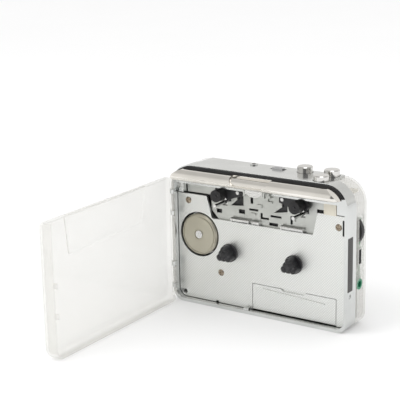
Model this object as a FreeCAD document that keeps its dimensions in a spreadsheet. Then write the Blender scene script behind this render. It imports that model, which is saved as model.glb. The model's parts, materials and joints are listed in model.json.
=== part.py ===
import FreeCAD, Part
import math
import os
import Sketcher

# Portable cassette player, millimetres.
# X runs to the right, Y runs from the front to the back, Z runs up.
# The origin is on the bottom face of the frame, below the middle of the housing.

SIZES = [
    ("width", 115, "housing, left to right"),
    ("height", 83, "housing, bottom to top"),
    ("rim", 8, "front rim of the frame, in front of the origin"),
    ("split", 2, "joint of frame and rear shell, behind the origin"),
    ("back", 16, "back face of the rear shell"),
    ("tray_front", 16, "front face of the closed door, in front of the origin"),
    ("top_corner", 14, "radius of the upper corners"),
    ("foot_corner", 7, "radius of the lower corners"),
    ("wall", 2, "wall of the frame"),
    ("clear_wall", 1.6, "wall of the clear mouldings"),
    ("beam_foot", 71.8, "lower edge of the front beam"),
    ("roll_foot", 75, "lower edge of the polished roll"),
    ("roll_top", 81, "upper edge of the polished roll"),
    ("roll_radius", 4.4, "crest of the polished roll"),
    ("seam", 1.2, "rubber strip between the roll and the frame"),
    ("deck_front", 4.5, "front face of the deck plate"),
    ("deck_thick", 1.5, "deck plate"),
    ("deck_foot", 2.3, "lower edge of the deck plate"),
    ("deck_top", 65, "upper edge of the deck plate"),
    ("window_foot", 52.2, "lower edge of the head window"),
    ("cassette_x", 1.5, "middle of the cassette"),
    ("reel_gap", 42.5, "between the two spindles"),
    ("reel_z", 33.6, "height of the spindles"),
    ("capstan_gap", 51, "between the two capstans"),
    ("capstan_z", 62.5, "height of the capstans"),
    ("capstan_radius", 1, "capstan shafts"),
    ("roller_z", 68, "height of the pinch rollers"),
    ("roller_radius", 3.5, "pinch rollers"),
    ("arm_pivot", 14.5, "pinch arm pivots, from the middle of the cassette"),
    ("arm_pivot_z", 70, "height of the pinch arm pivots"),
    ("motor_x", -40.6, "motor axis"),
    ("motor_z", 41.5, "motor axis"),
    ("motor_radius", 12.2, "motor can"),
    ("pulley_radius", 4.6, "motor pulley, where the belt runs"),
    ("flywheel_radius", 9, "flywheels, where the belt runs"),
    ("belt_thick", 0.6, "flat belt"),
    ("gear_radius", 8, "reel gears"),
    ("idler_radius", 7.6, "idler gears"),
    ("gear_front", 0.6, "front face of the gear train"),
    ("gear_thick", 2, "gears"),
    ("chassis_front", 1.2, "front face of the mechanism plate"),
    ("chassis_foot", 20, "lower edge of the mechanism plate"),
    ("chassis_top", 71.5, "upper edge of the mechanism plate"),
    ("carriage_front", 2.8, "front face of the head carriage"),
    ("carriage_back", 1.8, "back face of the head carriage"),
    ("key_radius", 4.4, "button caps"),
    ("key_top", 86.5, "top of the released buttons"),
    ("stroke", 2.2, "travel of the buttons and the head carriage"),
    ("guide_foot", 75, "lower face of the button guide"),
    ("guide_top", 76.5, "upper face of the button guide"),
    ("cap_foot", 80.6, "lower face of the released button caps"),
    ("running", 0.05, "radial clearance of running fits"),
    ("gap", 0.3, "clearance around moving parts"),
    ("hinge_x", -55.7, "door hinge axis"),
    ("hinge_y", -9.6, "door hinge axis"),
    ("barrel_radius", 1.5, "hinge barrel of the door"),
    ("pin_radius", 0.6, "hinge pins"),
    ("door_foot", 0.6, "lower edge of the door"),
    ("door_top", 74.7, "upper edge of the door"),
    ("door_open", 88, "how far the door stands open, degrees"),
    ("flap_left", -4.5, "left end of the battery cover"),
    ("flap_right", 48.9, "right end of the battery cover"),
    ("flap_axis_z", 3.2, "hinge axis of the battery cover"),
    ("flap_top", 17.7, "upper edge of the battery cover"),
    ("box_half", 52.2, "half length of the battery tray"),
    ("box_foot", 2.6, "lower face of the battery tray"),
    ("box_top", 19.2, "upper face of the battery tray"),
    ("box_back", 13.6, "back face of the battery tray"),
    ("box_wall", 1, "wall of the battery tray"),
    ("board_front", 11.4, "front face of the circuit board"),
    ("board_thick", 1.2, "circuit board"),
    ("wheel_x", 50.1, "volume wheel axis"),
    ("wheel_z", 54.5, "volume wheel axis"),
    ("wheel_radius", 8.6, "volume wheel"),
]

doc = FreeCAD.newDocument("CassettePlayer")
sheet = doc.addObject("Spreadsheet::Sheet", "Sizes")


class Size:
    """A number together with the sheet expression that gives it."""

    def __init__(self, value, text):
        self.value = float(value)
        self.text = text

    def __float__(self):
        return self.value

    def __add__(self, other):
        return join(self, "+", other)

    def __radd__(self, other):
        return join(other, "+", self)

    def __sub__(self, other):
        return join(self, "-", other)

    def __rsub__(self, other):
        return join(other, "-", self)

    def __mul__(self, other):
        return join(self, "*", other)

    def __rmul__(self, other):
        return join(other, "*", self)

    def __truediv__(self, other):
        return join(self, "/", other)

    def __neg__(self):
        return join(0, "-", self)


def text_of(number):
    return number.text if isinstance(number, Size) else "%.6g" % number


def join(left, sign, right):
    first = float(left)
    second = float(right)
    values = {"+": first + second, "-": first - second, "*": first * second}
    value = first / second if sign == "/" else values[sign]
    return Size(value, "(%s %s %s)" % (text_of(left), sign, text_of(right)))


def fill_sheet():
    """Writes the driving dimensions and returns them by name."""
    named = {}
    for row, (name, value, note) in enumerate(SIZES, start=1):
        sheet.set("A%d" % row, name)
        sheet.set("B%d" % row, "%g" % value)
        sheet.setAlias("B%d" % row, name)
        sheet.set("C%d" % row, note)
        named[name] = Size(value, "Sizes." + name)
    doc.recompute()
    return named


size = fill_sheet()
width = size["width"]
half = width / 2
height = size["height"]
rim = size["rim"]
split = size["split"]
back = size["back"]
wall = size["wall"]
clear_wall = size["clear_wall"]
gap = size["gap"]
running = size["running"]
deck_front = size["deck_front"]
deck_back = deck_front - size["deck_thick"]
cassette_x = size["cassette_x"]
reel_z = size["reel_z"]
capstan_z = size["capstan_z"]
zero = Size(0, "0")
capstan_radius = size["capstan_radius"]
chassis_front = size["chassis_front"]
carriage_front = size["carriage_front"]
carriage_back = size["carriage_back"]
gear_front = size["gear_front"]
gear_back = gear_front + size["gear_thick"]
motor_x = size["motor_x"]
motor_z = size["motor_z"]
key_radius = size["key_radius"]
board_front = size["board_front"]
board_back = board_front + size["board_thick"]
wheel_x = size["wheel_x"]
wheel_z = size["wheel_z"]

REEL_X = {"left": cassette_x - size["reel_gap"] / 2, "right": cassette_x + size["reel_gap"] / 2}
CAPSTAN_X = {"left": cassette_x - size["capstan_gap"] / 2, "right": cassette_x + size["capstan_gap"] / 2}
PIVOT_X = {"left": cassette_x - size["arm_pivot"], "right": cassette_x + size["arm_pivot"]}
KEYS = {"wind": (21.5, 9.5), "play": (38.5, -2.8), "stop": (38.3, 9.5)}
DECK_SCREWS = [(-48, 61), (50.2, 58.6), (-26, 20.6)]
BOARD_POSTS = [(0, 23.5), (44, 23.5), (44, 42)]
SHELL_POSTS = [(-51, 23), (51, 31.8), (-50, 66), (47.5, 68.5)]
LUG_FEET = [8.4, 21.7, 52.4, 65.2]
LUG_TALL = 2.4
LAMP = (-12.5, 10.5)
KNOB_Y = 8
JACK = (6.5, 25)
PORT = (7, 40.5)
MOTOR_FRONT = -5.2

nodes = {}


# ---------------------------------------------------------------- document helpers


def bind(item, path, number):
    """Ties a property to the sheet when the number comes from it."""
    if isinstance(number, Size):
        item.setExpression(path, number.text)


def keep(item, label):
    """Makes an object one of the pieces of the player."""
    item.Label = label
    nodes[label] = item
    return item


def place(item, x, y, z, turn=None):
    rotation = turn or FreeCAD.Rotation()
    item.Placement = FreeCAD.Placement(FreeCAD.Vector(float(x), float(y), float(z)), rotation)
    for axis, number in zip("xyz", (x, y, z)):
        bind(item, "Placement.Base." + axis, number)
    return item


ALONG = {
    "X": FreeCAD.Rotation(FreeCAD.Vector(0, 1, 0), 90),
    "Y": FreeCAD.Rotation(FreeCAD.Vector(1, 0, 0), -90),
    "Z": FreeCAD.Rotation(),
}


def box(name, xs, ys, zs):
    item = doc.addObject("Part::Box", name)
    for path, (low, high) in zip(("Length", "Width", "Height"), (xs, ys, zs)):
        span = high - low
        setattr(item, path, float(span))
        bind(item, path, span)
    return place(item, xs[0], ys[0], zs[0])


def rod(name, axis, radius, centre, low, high):
    """A cylinder along an axis; centre holds the two other coordinates in order."""
    item = doc.addObject("Part::Cylinder", name)
    span = high - low
    item.Radius = float(radius)
    bind(item, "Radius", radius)
    item.Height = float(span)
    bind(item, "Height", span)
    first, second = centre
    spots = {"X": (low, first, second), "Y": (first, low, second), "Z": (first, second, low)}
    return place(item, *spots[axis], ALONG[axis])


def cone(name, axis, radii, centre, low, high):
    item = doc.addObject("Part::Cone", name)
    item.Radius1, item.Radius2 = (float(radius) for radius in radii)
    item.Height = float(high - low)
    first, second = centre
    spots = {"X": (low, first, second), "Y": (first, low, second), "Z": (first, second, low)}
    return place(item, *spots[axis], ALONG[axis])


def fuse(name, parts):
    item = doc.addObject("Part::MultiFuse", name)
    item.Shapes = parts
    return item


def cut(name, base, tools):
    item = doc.addObject("Part::Cut", name)
    item.Base = base
    item.Tool = tools[0] if len(tools) == 1 else fuse(name + "_tools", tools)
    return item


def group(name, parts):
    """Identical pieces that share one node stay separate solids."""
    item = doc.addObject("Part::Compound", name)
    item.Links = parts
    return item


def new_body(name):
    return doc.addObject("PartDesign::Body", name)


PLANES = {"XY": ("XY_Plane", 1), "XZ": ("XZ_Plane", -1), "YZ": ("YZ_Plane", 1)}


def sketch_on(body, plane, level):
    """A sketch parallel to an origin plane, at a level along the world axis."""
    role, sign = PLANES[plane]
    sketch = body.newObject("Sketcher::SketchObject", body.Name + "_sketch")
    support = [item for item in body.Origin.OriginFeatures if item.Role == role][0]
    sketch.AttachmentSupport = [(support, "")]
    sketch.MapMode = "FlatFace"
    offset = level * sign
    sketch.AttachmentOffset = FreeCAD.Placement(FreeCAD.Vector(0, 0, float(offset)), FreeCAD.Rotation())
    bind(sketch, "AttachmentOffset.Base.z", offset)
    return sketch


def fix_point(sketch, index, where, point):
    """Dimensions one point of the sketch from its origin."""
    for kind, number in zip(("DistanceX", "DistanceY"), point):
        row = sketch.addConstraint(Sketcher.Constraint(kind, -1, 1, index, where, float(number)))
        bind(sketch, "Constraints[%d]" % row, number)


def draw_polygon(sketch, points):
    first = sketch.GeometryCount
    count = len(points)
    spots = [FreeCAD.Vector(float(a), float(b), 0) for a, b in points]
    for index in range(count):
        sketch.addGeometry(Part.LineSegment(spots[index], spots[(index + 1) % count]), False)
    for index in range(count):
        after = first + (index + 1) % count
        sketch.addConstraint(Sketcher.Constraint("Coincident", first + index, 2, after, 1))
    for index, point in enumerate(points):
        fix_point(sketch, first + index, 1, point)


def draw_circle(sketch, centre, radius):
    spot = FreeCAD.Vector(float(centre[0]), float(centre[1]), 0)
    index = sketch.addGeometry(Part.Circle(spot, FreeCAD.Vector(0, 0, 1), float(radius)), False)
    fix_point(sketch, index, 3, centre)
    row = sketch.addConstraint(Sketcher.Constraint("Radius", index, float(radius)))
    bind(sketch, "Constraints[%d]" % row, radius)


def draw(sketch, outlines):
    """Outlines are lists of points, or (centre, radius) pairs for circles."""
    for outline in outlines:
        if isinstance(outline, tuple):
            draw_circle(sketch, *outline)
        else:
            draw_polygon(sketch, outline)


def set_length(feature, low, high):
    span = high - low
    feature.Length = float(span)
    bind(feature, "Length", span)


def add(body, plane, outlines, low, high):
    """Pads outlines between two levels of the axis across the plane."""
    sketch = sketch_on(body, plane, high if plane == "XZ" else low)
    draw(sketch, outlines)
    pad = body.newObject("PartDesign::Pad", body.Name + "_pad")
    pad.Profile = sketch
    set_length(pad, low, high)
    doc.recompute()
    return pad


def remove(body, plane, outlines, low, high):
    """Pockets outlines between two levels, and makes sure that material went."""
    before = body.Shape.Volume
    sketch = sketch_on(body, plane, low if plane == "XZ" else high)
    draw(sketch, outlines)
    pocket = body.newObject("PartDesign::Pocket", body.Name + "_pocket")
    pocket.Profile = sketch
    set_length(pocket, low, high)
    doc.recompute()
    if not body.Shape.Volume < before - 1e-6:
        raise ValueError("a pocket of %s cuts nothing" % body.Name)
    return pocket


def round_edges(body, radius, test):
    """Rounds the edges of the body's present shape that pass the test."""
    names = [
        "Edge%d" % (index + 1)
        for index, edge in enumerate(body.Shape.Edges)
        if test(edge.BoundBox)
    ]
    if not names:
        raise ValueError("no edge of %s to round" % body.Name)
    base = body.Tip
    fillet = body.newObject("PartDesign::Fillet", body.Name + "_fillet")
    fillet.Base = (base, names)
    fillet.Radius = float(radius)
    bind(fillet, "Radius", radius)
    doc.recompute()
    if "Invalid" in fillet.State:
        raise ValueError("%s can't be rounded by %s" % (body.Name, float(radius)))
    return fillet


def near(first, second):
    return abs(float(first) - float(second)) < 0.01


def upright(bounds, x, y):
    """True for a vertical edge at x, y."""
    flat = near(bounds.XMin, x) and near(bounds.XMax, x) and near(bounds.YMin, y)
    return flat and near(bounds.YMax, y) and not near(bounds.ZMin, bounds.ZMax)


def deep(bounds, x, z):
    """True for a front-to-back edge at x, z."""
    flat = near(bounds.XMin, x) and near(bounds.XMax, x) and near(bounds.ZMin, z)
    return flat and near(bounds.ZMax, z) and not near(bounds.YMin, bounds.YMax)


def rectangle(low_a, high_a, low_b, high_b):
    return [(low_a, low_b), (high_a, low_b), (high_a, high_b), (low_a, high_b)]


def turned(name, axis, profile, centre, start):
    """A lathe piece: profile of (radius, distance) points about an axis."""
    body = new_body(name)
    sketch = sketch_on(body, "XZ", 0)
    draw_polygon(sketch, profile)
    spin = body.newObject("PartDesign::Revolution", name + "_spin")
    spin.Profile = sketch
    spin.ReferenceAxis = (sketch, ["V_Axis"])
    spin.Angle = 360
    doc.recompute()
    first, second = centre
    spots = {"X": (start, first, second), "Y": (first, start, second), "Z": (first, second, start)}
    return place(body, *spots[axis], ALONG[axis])


def coil(name, axis, radius, wire, tall, turns, centre, start):
    """An open helical spring."""
    helix = doc.addObject("Part::Helix", name + "_line")
    helix.Radius = radius
    helix.Height = tall
    helix.Pitch = tall / turns
    section = doc.addObject("Part::Circle", name + "_section")
    section.Radius = wire
    section.Placement = FreeCAD.Placement(
        FreeCAD.Vector(radius, 0, 0), FreeCAD.Rotation(FreeCAD.Vector(1, 0, 0), 90)
    )
    item = doc.addObject("Part::Sweep", name)
    item.Sections = [section]
    item.Spine = (helix, [])
    item.Solid = True
    item.Frenet = True
    first, second = centre
    spots = {"X": (start, first, second), "Y": (first, start, second), "Z": (first, second, start)}
    return place(item, *spots[axis], ALONG[axis])


# ---------------------------------------------------------------- housing


def make_front_frame():
    """Ring-shaped frame with the top panel and the lugs of the door hinge."""
    body = new_body("FrontFrame")
    add(body, "XZ", [rectangle(-half, half, 0, height)], -rim, split)
    inner = half - wall
    remove(body, "XZ", [rectangle(-inner, inner, wall, size["beam_foot"])], -rim, split)
    beam_back = -rim + 1.5
    remove(body, "XZ", [rectangle(-inner, inner, size["deck_top"], height - wall)], beam_back, split)
    inner_foot = size["foot_corner"] - wall
    round_edges(body, inner_foot, lambda edge: deep(edge, inner, wall) or deep(edge, -inner, wall))
    inner_top = size["top_corner"] - wall
    ceiling = height - wall
    round_edges(body, inner_top, lambda edge: deep(edge, inner, ceiling) or deep(edge, -inner, ceiling))
    round_edges(body, size["top_corner"], lambda edge: deep(edge, half, height) or deep(edge, -half, height))
    round_edges(body, size["foot_corner"], lambda edge: deep(edge, half, 0) or deep(edge, -half, 0))
    head_slot = rectangle(cassette_x - 8, cassette_x + 8, size["beam_foot"] - 1, ceiling - 1)
    remove(body, "XZ", [head_slot], -rim, beam_back)
    blocks = [rectangle(side * 52.75 - 2.75, side * 52.75 + 2.75, 66, 72) for side in (-1, 1)]
    add(body, "XZ", blocks, -6.3, -chassis_front)
    catch = rectangle(-8.9, -5.7, wall - 0.1, wall + 1.3)
    add(body, "XZ", [catch], -7.8, -5.6)
    tongue = half - size["top_corner"]
    add(body, "XY", [rectangle(-tongue, tongue, split - 1, back - clear_wall)], ceiling, height)
    key_holes = [(spot, key_radius + gap) for spot in KEYS.values()]
    remove(body, "XY", key_holes, size["cap_foot"] - size["stroke"] - gap, height)
    holes = [(LAMP, 1.2), rectangle(0.7, 9.8, KNOB_Y - 1.7, KNOB_Y + 1.7)]
    remove(body, "XY", holes, ceiling - 1, height)
    add_hinge_lugs(body)
    grip = rectangle(-7.5, -1.8, 23.7, 54)
    remove(body, "YZ", [grip], half - 0.8, half)
    remove(body, "YZ", [((-4.7, 20.9), 1.3)], half - 0.5, half)
    keep(body, "front_frame")


def add_hinge_lugs(body):
    """Four lugs that carry the two pins of the door."""
    left = size["hinge_x"] - 1.4
    right = size["hinge_x"] + 1.4
    front = size["hinge_y"] - 1.4
    for foot in LUG_FEET:
        add(body, "XY", [rectangle(left, right, front, -rim + 0.2)], foot, foot + LUG_TALL)
    round_edges(body, 1.3, lambda edge: upright(edge, left, front) or upright(edge, right, front))
    hole = ((size["hinge_x"], size["hinge_y"]), size["pin_radius"])
    for foot in LUG_FEET:
        remove(body, "XY", [hole], foot, foot + LUG_TALL)


def make_hinge_pins():
    pins = []
    centre = (size["hinge_x"], size["hinge_y"])
    for lower, upper in zip(LUG_FEET[::2], LUG_FEET[1::2]):
        pins.append(rod("HingePin", "Z", size["pin_radius"], centre, lower, upper + LUG_TALL))
    keep(group("HingePins", pins), "hinge_pins")


def outline_body(name, inset, front, rear):
    """The rounded outline of the housing, drawn in by an inset."""
    body = new_body(name)
    side = half - inset
    crown = height - inset
    add(body, "XZ", [rectangle(-side, side, inset, crown)], front, rear)
    radius = size["top_corner"] - inset
    round_edges(body, radius, lambda edge: deep(edge, side, crown) or deep(edge, -side, crown))
    return body


def make_top_bezel():
    """Polished half-round bar with a D-shaped thumb notch, hollow behind."""
    front = -size["tray_front"]
    rear = -rim - size["seam"]
    foot = size["roll_foot"]
    crown = size["roll_top"]
    radius = size["roll_radius"]
    side = half - 1.5
    roll = new_body("Roll")
    add(roll, "XY", [rectangle(-side, side, front, rear)], foot, crown)
    round_edges(roll, 6.5, lambda edge: upright(edge, side, front) or upright(edge, -side, front))
    edge_back = float(rear) - 0.01
    round_edges(roll, radius, lambda edge: near(edge.ZMin, crown) and edge.YMin < edge_back)
    round_edges(roll, 1.4, lambda edge: near(edge.ZMax, foot) and edge.YMin < edge_back)
    trimmed = doc.addObject("Part::Common", "RollTrimmed")
    trimmed.Base = roll
    trimmed.Tool = outline_body("RollOutline", zero + 1.5, front - 1, rear)
    hollow = box("RollHollow", (-46, 46), (-12.9, rear), (foot - 1, 78.4))
    keep(cut("TopBezel", trimmed, [hollow, thumb_notch(front, crown)]), "top_bezel")


def thumb_notch(front, crown):
    """The floor of the notch follows the roll, a little below its surface."""
    deep_by = 1.1
    outline = new_body("NotchOutline")
    left, right, low = -13.1, 11.9, 76.2
    middle = front + size["roll_radius"]
    add(outline, "XZ", [rectangle(left, right, low, crown + 1)], front - 1, middle + 2)
    round_edges(outline, 4.6, lambda edge: deep(edge, left, low) or deep(edge, right, low))
    centre = (middle, crown - size["roll_radius"])
    core = rod("NotchCore", "X", size["roll_radius"] - deep_by, centre, left - 1, right + 1)
    behind = box("NotchBehind", (left - 1, right + 1), (middle, middle + 3), (low - 1, crown - deep_by))
    return cut("Notch", outline, [core, behind])


def make_bezel_gasket():
    """Black strip that closes the seam behind the roll, open where the head passes."""
    strip = outline_body("GasketOutline", zero + 0.7, -rim - size["seam"], -rim)
    below = box("GasketBelow", (-half, half), (-rim - 3, -rim + 1), (zero, size["roll_foot"] + 0.6))
    slot = box("GasketSlot", (cassette_x - 8, cassette_x + 8), (-rim - 3, -rim + 1), (70, 80))
    keep(cut("BezelGasket", strip, [below, slot]), "bezel_gasket")


def make_deck_plate():
    """Hatched plate behind the cassette, with the window of the heads."""
    body = new_body("DeckPlate")
    side = half - wall - gap
    foot = size["deck_foot"]
    crown = size["deck_top"]
    sill = size["window_foot"]
    left = size["flap_left"] - gap
    right = size["flap_right"] + gap
    flap_crown = size["flap_top"] + gap
    outline = [
        (-side, foot), (left, foot), (left, flap_crown), (right, flap_crown), (right, foot), (side, foot),
        (side, crown - 1), (side - 2, crown), (37.2, crown), (34.5, sill), (-31.8, sill), (-35.3, crown),
        (-side, crown),
    ]
    add(body, "XZ", [outline], -deck_front, -deck_back)
    corner = size["foot_corner"] - wall - gap
    round_edges(body, corner, lambda edge: deep(edge, side, foot) or deep(edge, -side, foot))
    round_edges(body, 1, lambda edge: deep(edge, -31.8, sill) or deep(edge, 34.5, sill))
    holes = [((x, reel_z), 2.3) for x in REEL_X.values()]
    holes += [((x, z), 1.1) for x, z in DECK_SCREWS]
    holes.append(((-51.5, 5), 1.4))
    holes.append(rectangle(53.7, 54.9, 21.6, 51))
    holes.append(rectangle(52.6, 54.6, 54, 62.8))
    remove(body, "XZ", holes, -deck_front, -deck_back)
    remove(body, "XZ", [((motor_x, motor_z), size["motor_radius"] + 1.1)], -deck_front, -deck_back)
    remove(body, "XZ", [((-28.8, foot), 1)], -deck_front, -deck_back)
    shallow = [rectangle(51.6, 52.4, 38.9, 39.7), rectangle(51.9, 52.7, 23.7, 24.5)]
    remove(body, "XZ", shallow, -deck_front, -deck_front + 0.4)
    for side_x, outward in ((size["flap_left"] - gap, -1), (size["flap_right"] + gap, 1)):
        low = min(float(side_x), float(side_x) + 1.1 * outward)
        bore = ((-(deck_front + deck_back) / 2, size["flap_axis_z"]), 0.5)
        remove(body, "YZ", [bore], zero + low, zero + low + 1.1)
    keep(body, "deck_plate")


def make_deck_screws():
    """Pan-head screws with a cross slot, into the posts of the mechanism plate."""
    screws = []
    for x, z in DECK_SCREWS:
        shank = rod("DeckShank", "Y", 0.9, (x, z), -deck_front, -chassis_front)
        head = cone("DeckHead", "Y", (1.4, 2), (x, z), -deck_front - 0.6, -deck_front)
        slots = [
            box("DeckSlot", (x - 1.2, x + 1.2), (-deck_front - 1, -deck_front - 0.1), (z - 0.3, z + 0.3)),
            box("DeckSlot", (x - 0.3, x + 0.3), (-deck_front - 1, -deck_front - 0.1), (z - 1.2, z + 1.2)),
        ]
        screws.append(cut("DeckScrew", fuse("DeckBlank", [shank, head]), slots))
    keep(group("DeckScrews", screws), "deck_screws")


def make_side_grip():
    """Ribbed insert in the right wall of the frame."""
    base = box("GripBase", (half - 0.8, half - 0.35), (-7.5, -1.8), (23.7, 54))
    ribs = [base]
    for index in range(27):
        low = 24.2 + 1.1 * index
        ribs.append(box("GripRib", (half - 0.4, half), (-7.1, -2.2), (low, low + 0.6)))
    keep(fuse("SideGrip", ribs), "side_grip")


def make_indicator():
    outer = rod("LampOuter", "Z", 2.3, LAMP, height, height + 0.6)
    bore = rod("LampBore", "Z", 1.2, LAMP, height - 1, height + 1)
    keep(cut("LampBezel", outer, [bore]), "indicator_bezel")
    keep(rod("Lamp", "Z", 1.15, LAMP, height - 4, height + 0.2), "indicator_led")


def make_rear_shell():
    """Clear moulded back, open at the front and under the top panel."""
    body = new_body("RearShell")
    add(body, "XZ", [rectangle(-half, half, 0, height)], split, back)
    side = half - clear_wall
    inner_back = back - clear_wall
    crown = height - clear_wall
    remove(body, "XZ", [rectangle(-side, side, clear_wall, crown)], split, inner_back)
    top = size["top_corner"] - clear_wall
    foot = size["foot_corner"] - clear_wall
    round_edges(body, top, lambda edge: deep(edge, side, crown) or deep(edge, -side, crown))
    round_edges(body, foot, lambda edge: deep(edge, side, clear_wall) or deep(edge, -side, clear_wall))
    round_edges(body, size["top_corner"], lambda edge: deep(edge, half, height) or deep(edge, -half, height))
    round_edges(body, size["foot_corner"], lambda edge: deep(edge, half, 0) or deep(edge, -half, 0))
    round_edges(body, 3, lambda edge: near(edge.YMin, back))
    tongue = half - size["top_corner"]
    remove(body, "XY", [rectangle(-tongue, tongue, split, inner_back)], height - wall, height)
    add(body, "XZ", [(post, 2.4) for post in SHELL_POSTS], zero, inner_back + 0.4)
    remove(body, "XZ", [(post, 1.1) for post in SHELL_POSTS], zero, back)
    remove(body, "XZ", [(post, 2.2) for post in SHELL_POSTS], back - 1.2, back)
    openings = [
        rectangle(6.1, 9.9, wheel_z - 7.2, wheel_z + 7.2),
        rectangle(PORT[0] - 1.75, PORT[0] + 1.75, PORT[1] - 4.65, PORT[1] + 4.65),
        (JACK, 3.1),
    ]
    remove(body, "YZ", openings, side - 0.2, half)
    scoop = rectangle(5.4, 10.6, wheel_z - 9, wheel_z + 9.5)
    remove(body, "YZ", [scoop], half - 0.7, half)
    keep(body, "rear_shell")


def make_shell_screws():
    screws = []
    for post in SHELL_POSTS:
        shank = rod("ShellShank", "Y", 1, post, 0.6, back - 1)
        head = rod("ShellHead", "Y", 2, post, back - 1.2, back - 0.2)
        x, z = post
        slot = box("ShellSlot", (x - 1.2, x + 1.2), (back - 0.6, back), (z - 0.25, z + 0.25))
        cross = box("ShellSlot", (x - 0.25, x + 0.25), (back - 0.6, back), (z - 1.2, z + 1.2))
        screws.append(cut("ShellScrew", fuse("ShellBlank", [shank, head]), [slot, cross]))
    keep(group("ShellScrews", screws), "shell_screws")


# ---------------------------------------------------------------- door and battery cover


def make_cassette_door():
    """Clear tray that carries the cassette, hinged on its left edge."""
    body = new_body("CassetteDoor")
    left = size["hinge_x"] - size["barrel_radius"]
    right = half - 0.4
    foot = size["door_foot"]
    crown = size["door_top"]
    front = -size["tray_front"]
    rear = -rim - 0.05
    add(body, "XZ", [rectangle(left, right, foot, crown)], front, rear)
    inner = [left + clear_wall, right - clear_wall, foot + clear_wall, crown - clear_wall]
    panel = front + clear_wall + 0.2
    remove(body, "XZ", [rectangle(*inner)], panel, rear)
    round_edges(
        body, 4.8,
        lambda edge: deep(edge, inner[0], inner[2]) or deep(edge, inner[1], inner[2]),
    )
    round_edges(body, 6.4, lambda edge: deep(edge, left, foot) or deep(edge, right, foot))
    round_edges(body, 3, lambda edge: deep(edge, left, crown) or deep(edge, right, crown))
    round_edges(body, 2.4, lambda edge: near(edge.YMax, front))
    open_top = rectangle(inner[0], inner[1], crown - 3, crown)
    remove(body, "XZ", [open_top], panel + 1, rear)
    recess = [(-35.3, crown - 1.2), (-31.8, 52.4), (34.5, 52), (37.2, crown - 1.2)]
    remove(body, "XZ", [recess], panel - 1, panel)
    trim_hinge_side(body, left, rear)
    hooks = [rectangle(54.6, 55.4, low, low + 3) for low in (23.5, 40)]
    add(body, "XZ", hooks, rear - 1, rear + 1.5)
    turn = FreeCAD.Rotation(FreeCAD.Vector(0, 0, 1), -float(size["door_open"]))
    body.Placement = open_placement(turn)
    keep(body, "cassette_door")


def trim_hinge_side(body, left, rear):
    """Rounds the rear left edge to a barrel between the lugs and bores it for the pins."""
    axis = (size["hinge_x"], size["hinge_y"])
    radius = size["barrel_radius"]
    foot = size["door_foot"]
    crown = size["door_top"]
    remove(body, "XY", [rectangle(left - 1, axis[0] + radius + 0.1, axis[1], rear + 1)], foot, crown)
    for low in LUG_FEET:
        window = rectangle(left - 1, axis[0] + radius + 0.3, axis[1] - 1.8, rear + 1)
        remove(body, "XY", [window], low - 0.2, low + LUG_TALL + 0.2)
    starts = [foot + 5] + [low + LUG_TALL + 0.2 for low in LUG_FEET]
    ends = [low - 0.2 for low in LUG_FEET] + [crown - 3]
    pinned = (1, 3)
    for index, (start, end) in enumerate(zip(starts, ends)):
        add(body, "XY", [(axis, radius)], start, end)
        if index in pinned:
            remove(body, "XY", [(axis, size["pin_radius"] + running)], start, end)


def open_placement(turn):
    """Placement of a piece turned about the door hinge."""
    axis = FreeCAD.Vector(float(size["hinge_x"]), float(size["hinge_y"]), 0)
    return FreeCAD.Placement(axis - turn.multVec(axis), turn)


def make_battery_cover():
    """Flap in the lower right of the deck, with a thumb notch and a moulded ridge."""
    body = new_body("BatteryCover")
    left = size["flap_left"]
    right = size["flap_right"]
    axis_z = size["flap_axis_z"]
    crown = size["flap_top"]
    mid = -(deck_front + deck_back) / 2
    add(body, "XZ", [rectangle(left, right, axis_z, crown)], -deck_front, -deck_back)
    add(body, "YZ", [((mid, axis_z), size["deck_thick"] / 2)], left, right)
    add(body, "YZ", [((mid, axis_z), 0.45)], left - 1, right + 1)
    notch = [(14, crown), (15.5, crown - 1.4), (28.5, crown - 1.4), (30, crown)]
    remove(body, "XZ", [notch], -deck_front, -deck_front + 0.9)
    ridge = [(2.5, 16), (42, 13.9), (42, 13.4), (2.5, 15.5)]
    add(body, "XZ", [ridge], -deck_front - 0.5, -deck_front + 0.2)
    keep(body, "battery_cover")


def make_battery_parts():
    """Open tray for two cells end to end, with a spring and a contact plate."""
    side = size["box_half"]
    foot = size["box_foot"]
    crown = size["box_top"]
    thick = size["box_wall"]
    tray = box("TrayBlock", (-side, side), (-deck_back, size["box_back"]), (foot, crown))
    inner = box(
        "TrayInner", (-side + thick, side - thick), (-deck_back - 1, size["box_back"] - thick),
        (foot + thick, crown - thick),
    )
    keep(cut("BatteryTray", tray, [inner]), "battery_tray")
    middle = (4.8, (foot + crown) / 2)
    start = -side + thick
    spring = coil("BatterySpring", "X", 4.2, 0.35, 4.5, 4, middle, start + 0.4)
    keep(spring, "battery_spring")
    plate = box("ContactPlate", (side - thick - 0.4, side - thick), (-1, 10.6), (5.2, 16.6))
    bump = rod("ContactBump", "X", 2.2, middle, side - thick - 1.2, side - thick)
    keep(fuse("BatteryContact", [plate, bump]), "battery_contact")


# ---------------------------------------------------------------- mechanism, fixed parts


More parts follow.
